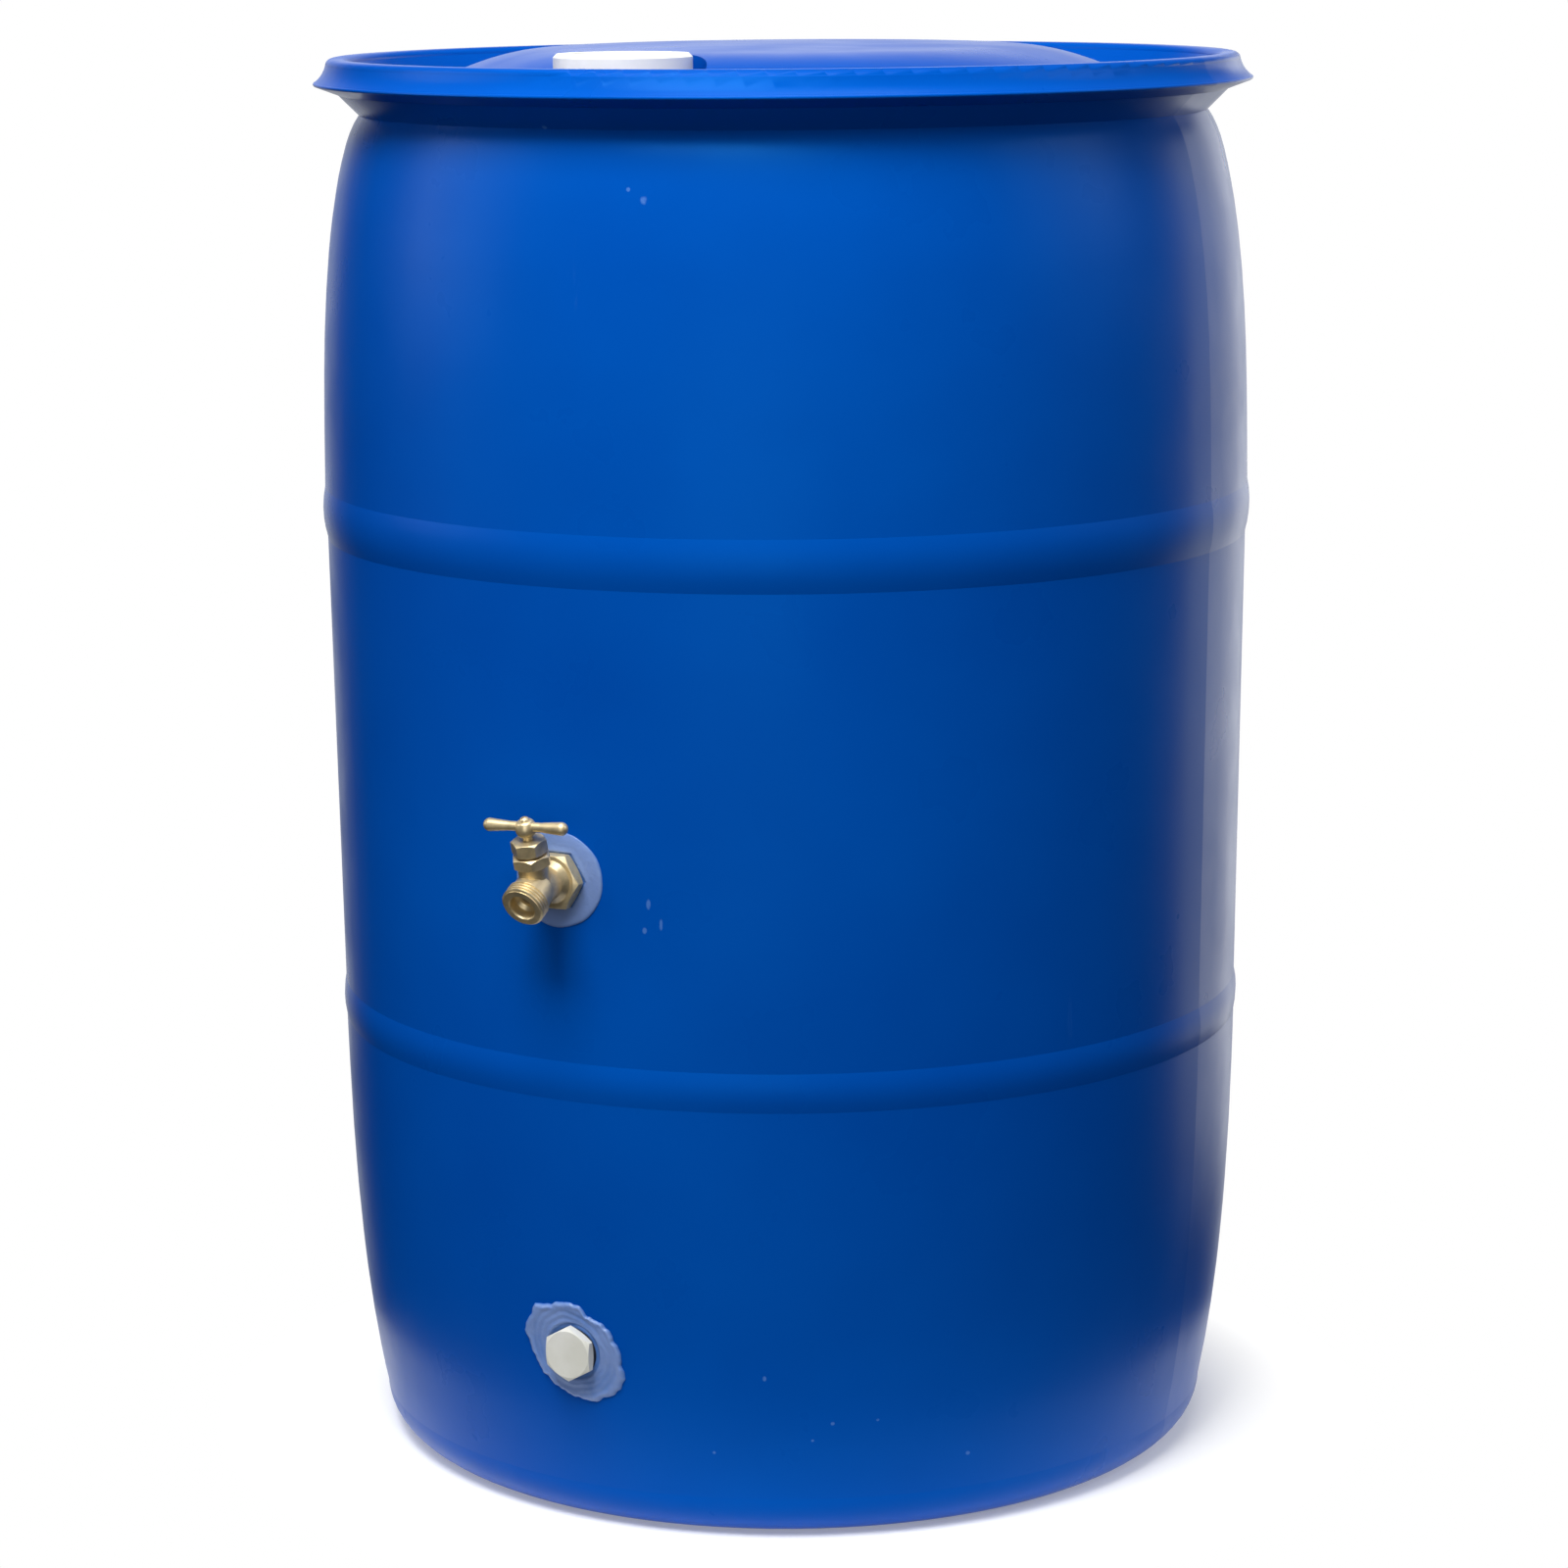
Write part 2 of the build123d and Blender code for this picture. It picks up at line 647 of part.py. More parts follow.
with BuildPart() as tee_handle:
    with BuildSketch(section_of(stem_axis)):
        with BuildLine():
            hub_foot = (hub_radius - 0.2, hub_low + hub_edge)
            hub_shoulder = (hub_radius - 0.8, hub_face - hub_edge)
            hub_rim = (hub_radius - 2 * hub_edge, hub_face)
            Polyline(hub_rim, (0, hub_face), (0, hub_low), (hub_radius - hub_edge, hub_low), hub_foot)
            ThreePointArc(hub_foot, (hub_radius, hub_level), hub_shoulder)
            ThreePointArc(hub_shoulder, (hub_radius - hub_edge, hub_face - 0.5), hub_rim)
        make_face()
    revolve(axis=Axis(stem_axis.origin, stem_axis.z_dir))
    for side in (1, -1):
        arm = Plane(origin=handle_plane.origin, x_dir=handle_plane.z_dir, z_dir=arm_dir * side)
        half = handle_length / 2
        tip_centre = half - handle_tip_radius
        with BuildSketch(section_of(arm)):
            with BuildLine():
                Polyline((0, half), (0, 0), (handle_root_radius, 0),
                         (handle_root_radius, hub_radius + handle_tip_radius),
                         (handle_tip_radius, tip_centre))
                ThreePointArc(
                    (handle_tip_radius, tip_centre),
                    (handle_tip_radius * root_half, tip_centre + handle_tip_radius * root_half),
                    (0, half))
            make_face()
        revolve(axis=Axis(arm.origin, arm.z_dir))
    add(rod(stem_axis, stem_radius, hub_low - overcut, hub_low + overcut), mode=Mode.SUBTRACT)
    add(rod(stem_axis, stem_square, hub_low, stem_end), mode=Mode.SUBTRACT)
    add(rod(stem_axis, handle_screw_radius, hub_low, hub_high), mode=Mode.SUBTRACT)
save(tee_handle, "tee_handle")

with BuildPart() as handle_screw:
    add(rod(stem_axis, handle_screw_radius, handle_screw_tip, hub_face))
    crown_level = hub_face + handle_screw_crown
    with BuildSketch(section_of(stem_axis)):
        with BuildLine():
            Polyline((0, crown_level), (0, hub_face), (handle_screw_head, hub_face))
            ThreePointArc((handle_screw_head, hub_face),
                          (handle_screw_head * root_half, crown_level - 0.5), (0, crown_level))
        make_face()
    revolve(axis=Axis(stem_axis.origin, stem_axis.z_dir))
    with BuildSketch(stem_axis.offset(crown_level - slot_depth)):
        Rectangle(slot_length, slot_width, rotation=slot_turn)
    extrude(amount=2 * slot_depth, mode=Mode.SUBTRACT)
save(handle_screw, "handle_screw")

# ---------------------------------------------------------------- tap sealant
with BuildPart() as tap_sealant:
    add(ring(inlet_axis, shank_radius + hole_gap, tap_sealant_radius, -2 * wall, 2 * wall))
    add(sealant_skin.part, mode=Mode.INTERSECT)
    add(hexagon(inlet_axis, collar_flats, collar_face, collar_length), mode=Mode.SUBTRACT)
save(tap_sealant, "tap_sealant")

# ---------------------------------------------------------------- drain plug
drain_nut_end = -wall - gasket_thickness - locknut_height
head_corner = drain_flats / math.sqrt(3)

with BuildPart() as drain_plug:
    add(hexagon(drain_axis, drain_flats, drain_standoff, drain_standoff + drain_head_height, turn=drain_turn))
    add(rod(drain_axis, drain_shank_radius, drain_nut_end - drain_tail, drain_standoff))
    add(rod(drain_axis, drain_bore, drain_nut_end - 2 * drain_tail, -drain_floor), mode=Mode.SUBTRACT)
save(drain_plug, "drain_plug")

with BuildPart() as drain_plug_washer:
    add(ring(drain_axis, drain_shank_radius + moving_gap, drain_washer_radius, -wall, drain_standoff))
    add(hull, mode=Mode.SUBTRACT)
save(drain_plug_washer, "drain_plug_washer")

with BuildPart() as drain_sealant:
    with BuildSketch(drain_axis.offset(-2 * wall)):
        Ellipse(drain_sealant_width / 2, drain_sealant_height / 2)
    extrude(amount=4 * wall)
    add(sealant_skin.part, mode=Mode.INTERSECT)
    add(rod(drain_axis, drain_washer_radius + moving_gap, -4 * wall, 4 * wall), mode=Mode.SUBTRACT)
    add(rod(drain_axis, head_corner + moving_gap, drain_standoff - moving_gap, 4 * wall),
        mode=Mode.SUBTRACT)
save(drain_sealant, "drain_sealant")
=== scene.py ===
import json
import math

import bpy
import numpy as np
from mathutils import Matrix, Vector


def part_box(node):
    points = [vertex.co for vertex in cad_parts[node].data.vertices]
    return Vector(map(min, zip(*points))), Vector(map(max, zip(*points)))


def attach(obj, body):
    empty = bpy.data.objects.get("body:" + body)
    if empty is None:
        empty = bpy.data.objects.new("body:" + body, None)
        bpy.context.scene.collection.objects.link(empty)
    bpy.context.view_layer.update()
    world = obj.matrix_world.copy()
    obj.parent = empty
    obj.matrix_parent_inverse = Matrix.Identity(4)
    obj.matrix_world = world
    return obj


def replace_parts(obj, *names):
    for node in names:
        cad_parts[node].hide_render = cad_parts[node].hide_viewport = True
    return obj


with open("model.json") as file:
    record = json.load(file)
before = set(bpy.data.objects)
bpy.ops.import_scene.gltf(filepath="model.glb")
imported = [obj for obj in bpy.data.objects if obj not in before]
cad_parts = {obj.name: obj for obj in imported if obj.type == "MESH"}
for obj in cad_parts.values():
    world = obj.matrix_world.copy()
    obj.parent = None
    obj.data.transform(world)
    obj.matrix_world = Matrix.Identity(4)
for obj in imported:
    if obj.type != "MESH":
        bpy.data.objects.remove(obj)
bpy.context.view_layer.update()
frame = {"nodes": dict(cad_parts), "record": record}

# ---------------------------------------------------------------- places read from the frame
def middle_level(node):
    """Height of the middle of a node."""
    low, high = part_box(node)
    return (low.z + high.z) / 2


def half_width(node):
    """Half of a node's size along X."""
    low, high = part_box(node)
    return (high.x - low.x) / 2


TAP_LEVEL = middle_level("tap_locknut")
DRAIN_LEVEL = middle_level("drain_locknut")
COLLAR_CORNER = half_width("tap_body")          # from the tap's axis to its hexagonal collar's corners
WASHER_RADIUS = half_width("drain_plug_washer")
DRAIN_CORNER = half_width("drain_plug") * 2 / math.sqrt(3)
TAP_BORE = 0.0137                               # the tap's shank in the wall, and a little room
GAP = 0.0003                                    # room between the silicone and what it surrounds


def outer_profile():
    """Levels and outer radii of the drum's wall: the largest radius at each level among the
    shell's vertices whose normals point away from the drum's axis."""
    mesh = frame["nodes"]["drum_shell"].data
    points, normals = np.empty(len(mesh.vertices) * 3), np.empty(len(mesh.vertices) * 3)
    mesh.vertices.foreach_get("co", points)
    mesh.vertices.foreach_get("normal", normals)
    points, normals = points.reshape(-1, 3), normals.reshape(-1, 3)
    radius = np.hypot(points[:, 0], points[:, 1])
    outward = (points[:, :2] * normals[:, :2]).sum(axis=1) > 0.3 * radius
    wall = outward & (radius > 0.9 * radius.max())
    levels, where = np.unique(np.round(points[wall, 2], 4), return_inverse=True)
    widest = np.zeros(len(levels))
    np.maximum.at(widest, where, radius[wall])
    return levels, widest


WALL_LEVELS, WALL_RADII = outer_profile()


def wall_radius(level):
    """Outer radius of the drum at a level."""
    return np.interp(level, WALL_LEVELS, WALL_RADII)


# ---------------------------------------------------------------- camera, floor and light
AZIMUTH = math.radians(28.2)
PITCH = math.radians(11.18)
ROLL = math.radians(0.47)
DISTANCE = 2.8016
FOCAL_LENGTH = 100.93            # millimetres, on the sensor's width below
SENSOR_WIDTH = 36
EYE_HEIGHT = 0.9705
SIDE_STEP = -0.003
ROOM = 0.0                       # strengths of the studio on the camera's side, behind and overhead
BACKDROP = 1.1
CEILING = 0.2
BACKDROP_SPREAD = (0.78, 1.0)    # cosines of the backdrop's faded edge and its brightest part
CEILING_SPREAD = (0.25, 1.0)
FLOOR_RADIUS = 0.38
FLOOR_SIDES = 96
FLOOR_FADE = (0.262, 0.345)      # where the paper starts and ends its fade to plain white
PAPER = (0.8, 0.8, 0.8)
PAPER_GLOW = (0.25, 0.8)         # the paper's own light near the drum, and what the fade adds
# name: angle from the camera's side, reach, height, height aimed at, size, watts
LIGHTS = {
    "key": (-25, 2.0, 3.5, 0.5, 1.6, 124),
    "overhead": (0, 0.3, 3.3, 0.8, 1.6, 30),
    "upper": (-5, 1.7, 2.2, 0.8, 0.9, 13),
    "front": (-10, 3.2, 0.5, 0.6, 1.6, 17),
    "left": (-88, 2.6, 1.5, 0.35, 1.6, 15),
    "right": (75, 2.6, 1.8, 0.5, 1.6, 17),
    "back_right": (134, 2.8, 0.4, 0.4, 2.1, 21),
}
RIGHT = (math.cos(AZIMUTH), math.sin(AZIMUTH), 0)
FORWARD = (-math.sin(AZIMUTH), math.cos(AZIMUTH), 0)


def add_camera():
    """Long-lens camera a little above the drum's head, looking slightly down."""
    data = bpy.data.cameras.new("camera")
    data.sensor_width = SENSOR_WIDTH
    data.lens = FOCAL_LENGTH
    camera = bpy.data.objects.new("camera", data)
    bpy.context.scene.collection.objects.link(camera)
    place = [SIDE_STEP * RIGHT[i] - DISTANCE * FORWARD[i] for i in range(3)]
    turn = (Matrix.Rotation(AZIMUTH, 4, "Z") @ Matrix.Rotation(math.pi / 2 - PITCH, 4, "X")
            @ Matrix.Rotation(-ROLL, 4, "Z"))
    camera.matrix_world = Matrix.Translation((place[0], place[1], EYE_HEIGHT)) @ turn
    bpy.context.scene.camera = camera


def add_area(name, place, aim, size, power):
    """Adds a square soft box at a place, turned to face an aim point."""
    data = bpy.data.lights.new(name, "AREA")
    data.shape = "SQUARE"
    data.size = size
    data.energy = power
    light = bpy.data.objects.new(name, data)
    bpy.context.scene.collection.objects.link(light)
    light.location = place
    light.rotation_euler = (Vector(aim) - Vector(place)).to_track_quat("-Z", "Y").to_euler()


def around(angle, reach, height):
    """Point at an angle from the camera's side of the drum, in degrees, positive to its right."""
    turn = math.radians(angle)
    x, y = (reach * (math.sin(turn) * RIGHT[i] - math.cos(turn) * FORWARD[i]) for i in (0, 1))
    return x, y, height


def add_world():
    """White surroundings for the camera. What they light is a grey studio that is bright behind
    the drum and overhead, and dark on the camera's side."""
    world = bpy.data.worlds.new("studio")
    bpy.context.scene.world = world
    world.use_nodes = True
    nodes, links = world.node_tree.nodes, world.node_tree.links
    nodes.clear()
    direction = nodes.new("ShaderNodeTexCoord").outputs["Generated"]
    strengths = []
    for axis, (low, high), brightest in ((FORWARD, BACKDROP_SPREAD, BACKDROP),
                                         ((0, 0, 1), CEILING_SPREAD, CEILING)):
        along = nodes.new("ShaderNodeVectorMath")
        along.operation = "DOT_PRODUCT"
        along.inputs[1].default_value = axis
        links.new(direction, along.inputs[0])
        ramp = nodes.new("ShaderNodeMapRange")
        ramp.interpolation_type = "SMOOTHSTEP"
        ramp.inputs["From Min"].default_value = low
        ramp.inputs["From Max"].default_value = high
        ramp.inputs["To Min"].default_value = ROOM
        ramp.inputs["To Max"].default_value = brightest
        links.new(along.outputs["Value"], ramp.inputs["Value"])
        strengths.append(ramp.outputs[0])
    brighter = nodes.new("ShaderNodeMath")
    brighter.operation = "MAXIMUM"
    for socket, strength in zip(brighter.inputs, strengths):
        links.new(strength, socket)
    fill = nodes.new("ShaderNodeBackground")
    fill.inputs["Color"].default_value = (0.92, 0.95, 1.0, 1)
    links.new(brighter.outputs[0], fill.inputs["Strength"])
    seen = nodes.new("ShaderNodeBackground")
    seen.inputs["Color"].default_value = (1, 1, 1, 1)
    path = nodes.new("ShaderNodeLightPath")
    mix = nodes.new("ShaderNodeMixShader")
    output = nodes.new("ShaderNodeOutputWorld")
    links.new(path.outputs["Is Camera Ray"], mix.inputs[0])
    links.new(fill.outputs[0], mix.inputs[1])
    links.new(seen.outputs[0], mix.inputs[2])
    links.new(mix.outputs[0], output.inputs[0])


def add_floor():
    """Disc of pale paper under the drum, which has faded to plain white at its edge."""
    angle = np.linspace(0, 2 * np.pi, FLOOR_SIDES, endpoint=False)
    ring = np.column_stack([np.cos(angle), np.sin(angle), np.zeros(FLOOR_SIDES)]) * FLOOR_RADIUS
    mesh = bpy.data.meshes.new("floor")
    mesh.from_pydata(ring.tolist(), [], [list(range(FLOOR_SIDES))])
    floor = bpy.data.objects.new("floor", mesh)
    bpy.context.scene.collection.objects.link(floor)
    floor.data.materials.append(floor_material())


# ---------------------------------------------------------------- material helpers
class Finish:
    """A material around one Principled shader, with short calls for the nodes it uses."""

    def __init__(self, name, colour, roughness, metallic=0.0):
        self.material = bpy.data.materials.new(name)
        self.material.use_nodes = True
        self.tree = self.material.node_tree
        self.shader = self.tree.nodes["Principled BSDF"]
        self.set("Base Color", (*colour, 1))
        self.set("Roughness", roughness)
        self.set("Metallic", metallic)
        self.place = self.node("ShaderNodeTexCoord").outputs["Object"]

    def node(self, kind):
        return self.tree.nodes.new(kind)

    def link(self, out, into):
        self.tree.links.new(out, into)

    def set(self, socket, value):
        self.shader.inputs[socket].default_value = value

    def scaled(self, scale):
        """Object coordinates stretched by a scale for each axis."""
        mapping = self.node("ShaderNodeMapping")
        mapping.inputs["Scale"].default_value = scale
        self.link(self.place, mapping.inputs["Vector"])
        return mapping.outputs[0]

    def noise(self, scale, detail=2.0, roughness=0.5, vector=None):
        noise = self.node("ShaderNodeTexNoise")
        noise.inputs["Scale"].default_value = scale
        noise.inputs["Detail"].default_value = detail
        noise.inputs["Roughness"].default_value = roughness
        self.link(vector or self.place, noise.inputs["Vector"])
        return noise.outputs["Fac"]

    def ramp(self, value, low, high, from_value=0.0, to_value=1.0):
        """Value mapped from low..high to from_value..to_value, held at both ends."""
        node = self.node("ShaderNodeMapRange")
        node.inputs["From Min"].default_value = low
        node.inputs["From Max"].default_value = high
        node.inputs["To Min"].default_value = from_value
        node.inputs["To Max"].default_value = to_value
        self.link(value, node.inputs["Value"])
        return node.outputs[0]

    def maths(self, operation, first, second):
        node = self.node("ShaderNodeMath")
        node.operation = operation
        for socket, value in zip(node.inputs, (first, second)):
            if isinstance(value, (int, float)):
                socket.default_value = value
            else:
                self.link(value, socket)
        return node.outputs[0]

    def mix(self, factor, first, second):
        """Colour between two colours, each a colour or an output."""
        node = self.node("ShaderNodeMix")
        node.data_type = "RGBA"
        self.link(factor, node.inputs["Factor"])
        slots = [s for s in node.inputs if s.type == "RGBA"]
        for socket, value in zip(slots, (first, second)):
            if isinstance(value, tuple):
                socket.default_value = (*value, 1)
            else:
                self.link(value, socket)
        return [s for s in node.outputs if s.type == "RGBA"][0]

    def colour(self, out):
        self.link(out, self.shader.inputs["Base Color"])

    def rough(self, out):
        self.link(out, self.shader.inputs["Roughness"])

    def bump(self, layers):
        """Bump from (height output, strength, distance) layers, chained coarse to fine."""
        last = None
        for height, strength, distance in layers:
            bump = self.node("ShaderNodeBump")
            bump.inputs["Strength"].default_value = strength
            bump.inputs["Distance"].default_value = distance
            self.link(height, bump.inputs["Height"])
            if last is not None:
                self.link(last, bump.inputs["Normal"])
            last = bump.outputs["Normal"]
        self.link(last, self.shader.inputs["Normal"])


# ---------------------------------------------------------------- materials
def floor_material():
    """Matt white paper that takes a shadow near the drum and fades to plain white further out."""
    f = Finish("floor_paper", PAPER, 0.9)
    f.set("Specular IOR Level", 0.1)
    f.set("Emission Color", (1, 1, 1, 1))
    length = f.node("ShaderNodeVectorMath")
    length.operation = "LENGTH"
    f.link(f.place, length.inputs[0])
    fade = f.ramp(length.outputs["Value"], *FLOOR_FADE)
    f.colour(f.mix(fade, PAPER, (0.0, 0.0, 0.0)))
    near, added = PAPER_GLOW
    glow = f.maths("ADD", f.maths("MULTIPLY", fade, added), near)
    f.link(glow, f.shader.inputs["Emission Strength"])
    f.rough(f.ramp(f.noise(6.0), 0.3, 0.7, 0.85, 0.95))
    return f.material


# lightness of the scuffs, and of the painted highlights near the top
SCUFF_AND_HIGHLIGHT_STRENGTH = 0.35
HAIRLINE_STRENGTH = 0.05
WEAR_AND_HIGHLIGHT_DULLNESS = 0.12             # how much rougher the drum is where it is fully worn or carries a painted highlight
# small scuffs, and painted highlights near the top in the first three rows: angle round from the tap
# in degrees, level, half width, half height
SCUFFS_AND_HIGHLIGHTS = [(11.5, 0.811, 0.0035, 0.0040), (9.5, 0.817, 0.0020, 0.0020), (-3.0, 0.851, 0.0030, 0.0020),
          (11.5, 0.400, 0.0022, 0.0050), (13.0, 0.388, 0.0018, 0.0060), (11.0, 0.384, 0.0024, 0.0030),
          (24.6, 0.108, 0.0018, 0.0026), (33.0, 0.078, 0.0022, 0.0020), (38.7, 0.079, 0.0018, 0.0016),
          (30.5, 0.067, 0.0014, 0.0014), (51.0, 0.050, 0.0024, 0.0022), (18.0, 0.058, 0.0016, 0.0016),
          (140, 0.260, 0.0040, 0.0030), (200, 0.540, 0.0030, 0.0090), (255, 0.140, 0.0060, 0.0030)]


def scuff_and_highlight_mask(f):
    """Worn patches, and near the top painted highlights, at the listed places: each fades from 1 to 0
    with the distance from its middle, with x, y and z measured in its half sizes. Fine noise breaks up
    the largest of them all."""
    together = None
    for angle, level, wide, tall in SCUFFS_AND_HIGHLIGHTS:
        turn = math.radians(angle)
        radius = float(wall_radius(level))
        x, y = radius * math.sin(turn), -radius * math.cos(turn)
        mapping = f.node("ShaderNodeMapping")
        mapping.inputs["Scale"].default_value = (1 / wide, 1 / wide, 1 / tall)
        mapping.inputs["Location"].default_value = (-x / wide, -y / wide, -level / tall)
        f.link(f.place, mapping.inputs["Vector"])
        reach = f.node("ShaderNodeVectorMath")
        reach.operation = "LENGTH"
        f.link(mapping.outputs[0], reach.inputs[0])
        spot = f.ramp(reach.outputs["Value"], 0.35, 1.0, 1.0, 0.0)
        together = spot if together is None else f.maths("MAXIMUM", together, spot)
    grain = f.noise(260.0, 6.0, 0.7, f.scaled((1.0, 1.0, 0.5)))
    return f.ramp(f.maths("MULTIPLY", together, grain), 0.22, 0.46)


def drum_material():
    """Blue polyethylene: saturated colour with faint cloudiness, scuffs where things have rubbed,
    lighter spots near the top that are painted highlights, hairline scratches, an uneven waxy gloss
    and the soft waviness of a blow moulding."""
    f = Finish("drum_polyethylene", (0.0, 0.075, 0.40), 0.3)
    f.set("IOR", 1.27)
    f.set("Specular Tint", (0.03, 0.4, 1.0, 1))
    cloud = f.ramp(f.noise(5.0, 3.0), 0.3, 0.7)
    body = f.mix(cloud, (0.0, 0.064, 0.376), (0.0, 0.079, 0.428))
    hairlines = f.ramp(f.noise(34.0, 7.0, 0.75, f.scaled((1.0, 1.0, 0.12))), 0.67, 0.72)
    patches = f.ramp(f.noise(6.0, 2.0), 0.52, 0.64)
    scratches = f.maths("MULTIPLY", f.maths("MULTIPLY", hairlines, patches), HAIRLINE_STRENGTH)
    wear_and_highlight = f.maths("MAXIMUM", f.maths("MULTIPLY", scuff_and_highlight_mask(f), SCUFF_AND_HIGHLIGHT_STRENGTH), scratches)
    # lighter lavender where scuffed or scratched, and at the painted highlights near the top
    f.colour(f.mix(wear_and_highlight, body, (0.16, 0.33, 0.70)))
    gloss = f.ramp(f.noise(14.0, 4.0), 0.3, 0.7, 0.26, 0.35)
    f.rough(f.maths("ADD", gloss, f.maths("MULTIPLY", wear_and_highlight, WEAR_AND_HIGHLIGHT_DULLNESS)))
    f.bump([(f.noise(7.0, 1.0), 0.22, 0.004), (f.noise(60.0, 3.0), 0.05, 0.0008),
            (f.noise(900.0, 2.0), 0.05, 0.0004)])
    return f.material


def moulded_material(name, colour, shade, roughness):
    """Injection-moulded plastic: faint tone variation, handling dirt and a fine grain."""
    f = Finish(name, colour, roughness)
    f.set("Subsurface Weight", 0.08)
    f.set("Subsurface Radius", (0.004, 0.004, 0.003))
    tone = f.ramp(f.noise(40.0, 4.0), 0.35, 0.7)
    f.colour(f.mix(tone, colour, shade))
    f.rough(f.ramp(f.noise(120.0, 3.0), 0.3, 0.7, roughness - 0.06, roughness + 0.08))
    f.bump([(f.noise(1500.0, 2.0), 0.08, 0.0002)])
    return f.material


def brass_material():
    """Cast and machined brass: warm metal with dull oxide patches and a fine cast grain."""
    f = Finish("tap_brass", (0.78, 0.64, 0.38), 0.4, metallic=0.75)
    patches = f.ramp(f.noise(90.0, 5.0, 0.6), 0.42, 0.68)
    f.colour(f.mix(patches, (0.82, 0.67, 0.40), (0.54, 0.45, 0.27)))
    f.rough(f.ramp(f.noise(140.0, 4.0), 0.3, 0.7, 0.32, 0.5))
    f.bump([(f.noise(500.0, 3.0), 0.12, 0.0003), (f.noise(2500.0, 2.0), 0.06, 0.0001)])
    return f.material


def rubber_material(name, colour, roughness):
    """Soft black rubber with a powdery bloom."""
    f = Finish(name, colour, roughness)
    bloom = f.ramp(f.noise(160.0, 4.0), 0.4, 0.75)
    f.colour(f.mix(bloom, colour, tuple(c + 0.03 for c in colour)))
    f.rough(f.ramp(f.noise(300.0, 3.0), 0.3, 0.7, roughness - 0.1, roughness + 0.1))
    f.bump([(f.noise(1800.0, 2.0), 0.15, 0.0002)])
    return f.material


def silicone_material():
    """Milky silicone on blue plastic: thin places show the blue behind, thick ones are pale."""
    f = Finish("silicone_sealant", (0.3, 0.4, 0.7), 0.35)
    f.set("Subsurface Weight", 0.15)
    f.set("Subsurface Radius", (0.003, 0.003, 0.004))
    body = f.node("ShaderNodeAttribute")
    body.attribute_name = "thickness"
    cloud = f.ramp(f.noise(150.0, 4.0, 0.6), 0.3, 0.7, -0.12, 0.12)
    depth = f.maths("ADD", body.outputs["Fac"], cloud)
    f.colour(f.mix(f.ramp(depth, 0.05, 0.75), (0.04, 0.15, 0.46), (0.18, 0.28, 0.57)))
    f.rough(f.ramp(f.noise(220.0, 3.0), 0.3, 0.7, 0.28, 0.5))
    f.bump([(f.noise(260.0, 3.0), 0.4, 0.0008), (f.noise(700.0, 3.0), 0.2, 0.0004)])
    return f.material


def build_materials():
    """One material for each of the record's slots."""
    return {
        "drum_plastic": drum_material(),
        "bung_plastic": moulded_material("bung_white", (0.86, 0.86, 0.84), (0.78, 0.78, 0.75), 0.38),
        "plug_plastic": moulded_material("plug_white", (0.80, 0.80, 0.77), (0.66, 0.66, 0.60), 0.45),
        "nut_plastic": moulded_material("nut_nylon", (0.03, 0.03, 0.035), (0.05, 0.05, 0.055), 0.5),
        "brass": brass_material(),
        "rubber": rubber_material("seal_rubber", (0.02, 0.02, 0.022), 0.6),
        "packing": rubber_material("gland_packing", (0.09, 0.085, 0.08), 0.7),
        "sealant": silicone_material(),
    }


def dress_nodes(materials):
    """Gives every CAD node the material of its slot."""
    for part in frame["record"]["subparts"]:
        mesh = frame["nodes"][part["node"]].data
        mesh.materials.clear()
        mesh.materials.append(materials[part["material_slot"]])


# ---------------------------------------------------------------- silicone
SEALANT_GRID = (720, 40)        # steps round the axis and from the inner edge to the outer one
SEALANT_LIFT = 0.00005          # underside clear of the wall
TAP_SMEAR = 0.0295              # radius of the silicone round the tap
RIDGE_HEIGHT = 0.00012          # the finger's ridges in the silicone round the drain plug
RIDGE_TURNS = 1500              # radians of ridge per metre out from the axis
# outline of the silicone round the drain plug: sideways and upwards from its axis, in millimetres
DRAIN_OUTLINE = [(-36, 8), (-27, 27), (-15, 28), (-4, 32), (6, 29), (11, 24), (20, 21), (27, 13),
                 (31, 5), (32, -6), (34, -14), (30, -21), (22, -27), (13, -32), (4, -31),
                 (-7, -29), (-15, -24), (-24, -18), (-29, -8), (-33, 0)]


def smooth(value, low, high):
    """Smoothstep: 0 below low, 1 above high, 3t^2 - 2t^3 between."""
    t = np.clip((value - low) / (high - low), 0, 1)
    return t * t * (3 - 2 * t)


def ragged(angle, seed, waves, size):
    """Uneven edge round a closed outline: the sum of sine waves of the given counts, each with
    its own phase from the seed and a height that falls with its count."""
    phase = np.random.default_rng(seed).uniform(0, 2 * np.pi, len(waves))
    return size * sum(np.sin(n * angle + p) * (waves[0] / n) ** 0.6 for n, p in zip(waves, phase))


def hexagon_reach(angle, corner):
    """Distance from a hexagon's middle to its side, at an angle measured from a corner:
    corner * cos 30 / cos(angle beyond the nearest side's middle)."""
    side = np.mod(angle, np.pi / 3) - np.pi / 6
    return corner * math.cos(math.pi / 6) / np.cos(side)


def wall_point(side, level, lift):
    """Points on the wall's front at a sideways distance and a level, lifted off it: the radius
    at that level plus the lift, turned round the drum's axis until its x is the distance."""
    radius = wall_radius(level) + lift
    return np.stack([side, -np.sqrt(radius ** 2 - side ** 2), level], axis=-1)


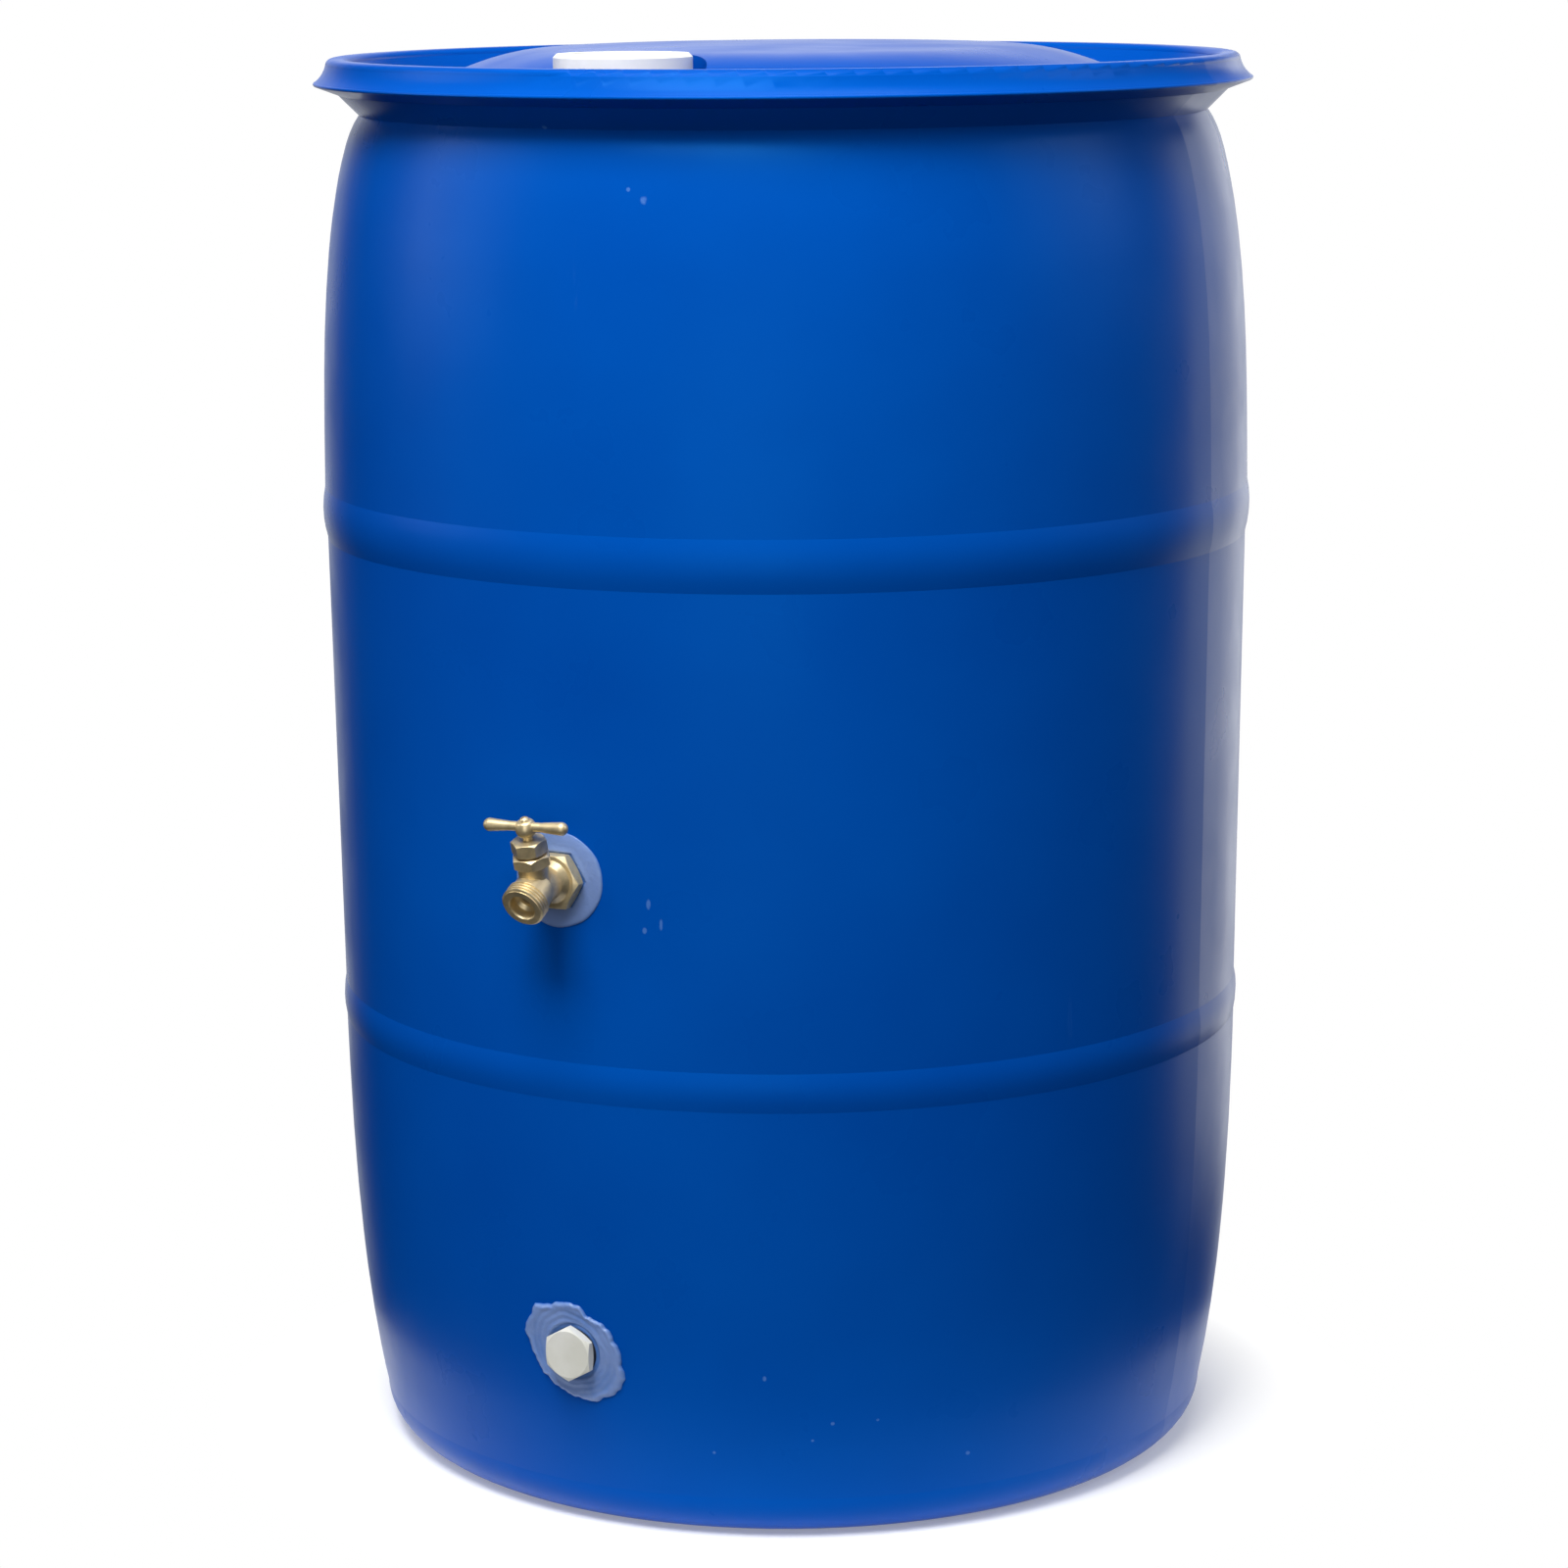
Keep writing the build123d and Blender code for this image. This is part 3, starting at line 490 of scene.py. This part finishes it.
def outline_reach(points, angle):
    """Distance from the axis to a closed outline of straight sides, at an angle: the side between
    two corners is read in polar form, so the reach is interpolated as 1/r against sin and cos."""
    corner = np.array(points) / 1000
    corner = corner[np.argsort(np.arctan2(corner[:, 1], corner[:, 0]))]
    start, end = corner, np.roll(corner, -1, axis=0)
    ray = np.stack([np.cos(angle), np.sin(angle)], axis=-1)[:, None]
    run = end - start
    across = ray[..., 0] * run[:, 1] - ray[..., 1] * run[:, 0]
    far = (start[:, 0] * run[:, 1] - start[:, 1] * run[:, 0]) / across
    share = (start[:, 0] * ray[..., 1] - start[:, 1] * ray[..., 0]) / across
    met = (far > 0) & (share >= 0) & (share <= 1)
    return np.where(met, far, 1.0).min(axis=1)


def add_piece(name, points, faces, material):
    """Smoothly shaded silicone object on the drum, at the origin, from arrays of points and faces."""
    mesh = bpy.data.meshes.new(name)
    mesh.from_pydata(points.reshape(-1, 3).tolist(), [], faces.tolist())
    mesh.polygons.foreach_set("use_smooth", np.ones(len(mesh.polygons), dtype=bool))
    mesh.materials.append(material)
    piece = bpy.data.objects.new(name, mesh)
    bpy.context.scene.collection.objects.link(piece)
    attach(piece, "root")
    return piece


def ring_faces(rounds, steps):
    """Faces of a grid that closes on itself both ways, rounds long and steps across."""
    i, j = np.meshgrid(np.arange(rounds), np.arange(steps), indexing="ij")
    after, beside = (i + 1) % rounds, (j + 1) % steps
    quads = [i * steps + j, after * steps + j, after * steps + beside, i * steps + beside]
    return np.stack(quads, axis=-1).reshape(-1, 4)


def add_silicone(name, level, inner, outer, height, material):
    """Silicone smeared on the wall round an axis. At each angle a closed loop runs out along the
    wall from the inner edge to the outer one and back over the top, whose lift is height(reach,
    share, angle), where share goes from 0 at the inner edge to 1 at the outer."""
    rounds, steps = SEALANT_GRID
    angle = np.arange(rounds) * 2 * np.pi / rounds
    share = np.sin(np.linspace(0, np.pi / 2, steps))
    near, far = inner(angle)[:, None], outer(angle)[:, None]
    reach = near + (far - near) * share
    top = np.maximum(height(reach, share[None, :], angle[:, None]), 2 * SEALANT_LIFT)
    reach = np.concatenate([reach, reach[:, ::-1]], axis=1)
    lift = np.concatenate([np.full_like(top, SEALANT_LIFT), top[:, ::-1]], axis=1)
    side = reach * np.cos(angle)[:, None]
    points = wall_point(side, level + reach * np.sin(angle)[:, None], lift)
    piece = add_piece(name, points, ring_faces(rounds, 2 * steps), material)
    thickness = piece.data.attributes.new("thickness", "FLOAT", "POINT")
    thickness.data.foreach_set("value", (lift / lift.max()).ravel().astype(np.float32))
    return piece


def add_tap_silicone(material):
    """Round disc of silicone, thin under the tap's collar, with a bead squeezed up round it and a
    rounded outer edge."""
    def inner(angle):
        return np.full_like(angle, TAP_BORE)

    def outer(angle):
        return TAP_SMEAR + ragged(angle, 3, (2, 3, 5, 9), 0.00025)

    def height(reach, share, angle):
        collar = hexagon_reach(angle, COLLAR_CORNER) + GAP
        bead = 0.0009 * smooth(reach, collar, collar + 0.0008)
        bead = bead * (1 - 0.5 * smooth(reach, collar + 0.001, collar + 0.005))
        swell = 0.00028 + bead + 0.0005 * smooth(reach, collar, collar + 0.006)
        return swell * np.sqrt(np.clip(1 - share ** 8, 0, 1))

    return add_silicone("tap_silicone", TAP_LEVEL, inner, outer, height, material)


def add_drain_silicone(material):
    """Hand-smeared silicone round the drain plug: a ragged outline, a thin middle, ridges left by
    the finger and a raised lip along the edge."""

    def inner(angle):
        return np.full_like(angle, WASHER_RADIUS + GAP)

    def outer(angle):
        return outline_reach(DRAIN_OUTLINE, angle) + ragged(angle, 8, (9, 14, 23, 37), 0.0004)

    def height(reach, share, angle):
        lip = 0.0007 * np.exp(-((share - 0.88) / 0.1) ** 2)
        wander = 2 * np.sin(2 * angle) + ragged(angle, 5, (3, 7, 11), 0.8)
        ridges = RIDGE_HEIGHT * np.sin(reach * RIDGE_TURNS + wander)
        mound = 0.0011 + 0.0004 * np.sin(3 * angle + 1) + ridges + lip
        under_head = smooth(reach, DRAIN_CORNER + GAP, DRAIN_CORNER + 0.0015)
        return (0.0006 + under_head * mound) * np.sqrt(np.clip(1 - share ** 10, 0, 1))

    return add_silicone("drain_silicone", DRAIN_LEVEL, inner, outer, height, material)


# ---------------------------------------------------------------- build
bpy.context.scene.view_settings.view_transform = "Standard"
add_camera()
add_world()
add_floor()
for name, (angle, reach, level, aim, size, power) in LIGHTS.items():
    add_area(name, around(angle, reach, level), (0, 0, aim), size, power)
materials = build_materials()
dress_nodes(materials)
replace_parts(add_tap_silicone(materials["sealant"]), "tap_sealant")
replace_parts(add_drain_silicone(materials["sealant"]), "drain_sealant")
